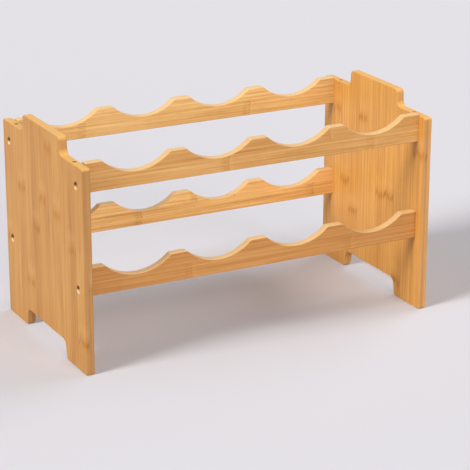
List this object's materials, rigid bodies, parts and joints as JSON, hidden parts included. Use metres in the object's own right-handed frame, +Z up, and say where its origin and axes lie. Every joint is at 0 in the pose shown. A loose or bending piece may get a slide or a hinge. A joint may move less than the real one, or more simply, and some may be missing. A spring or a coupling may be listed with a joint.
{
  "type": "wine rack",
  "caption": "Stackable bamboo wine rack: two notched side panels joined by scalloped front and rear rails that hold bottles lying on their sides in tiers.",
  "frame": {"origin": "the floor under the middle of the rack", "axes": "+X along the rails to the right, +Y to the rear, +Z up"},
  "size_m": [0.44, 0.226, 0.256],
  "materials": {
    "panel_bamboo": "clear satin lacquer on laminated bamboo, grain upright",
    "rail_bamboo": "clear satin lacquer on laminated bamboo, grain along the rail",
    "screw_steel": "yellow zinc plate",
    "dowel_wood": "bare"
  },
  "bodies": {
    "root": {"left_panel": "panel_bamboo", "right_panel": "panel_bamboo", "front_upper_rail": "rail_bamboo", "front_lower_rail": "rail_bamboo", "rear_upper_rail": "rail_bamboo", "rear_lower_rail": "rail_bamboo", "screw_front_upper_left": "screw_steel", "screw_front_upper_right": "screw_steel", "screw_front_lower_left": "screw_steel", "screw_front_lower_right": "screw_steel", "screw_rear_upper_left": "screw_steel", "screw_rear_upper_right": "screw_steel", "screw_rear_lower_left": "screw_steel", "screw_rear_lower_right": "screw_steel", "dowel_front_upper_left": "dowel_wood", "dowel_front_upper_right": "dowel_wood", "dowel_front_lower_left": "dowel_wood", "dowel_front_lower_right": "dowel_wood", "dowel_rear_upper_left": "dowel_wood", "dowel_rear_upper_right": "dowel_wood", "dowel_rear_lower_left": "dowel_wood", "dowel_rear_lower_right": "dowel_wood"}
  },
  "joints": []
}
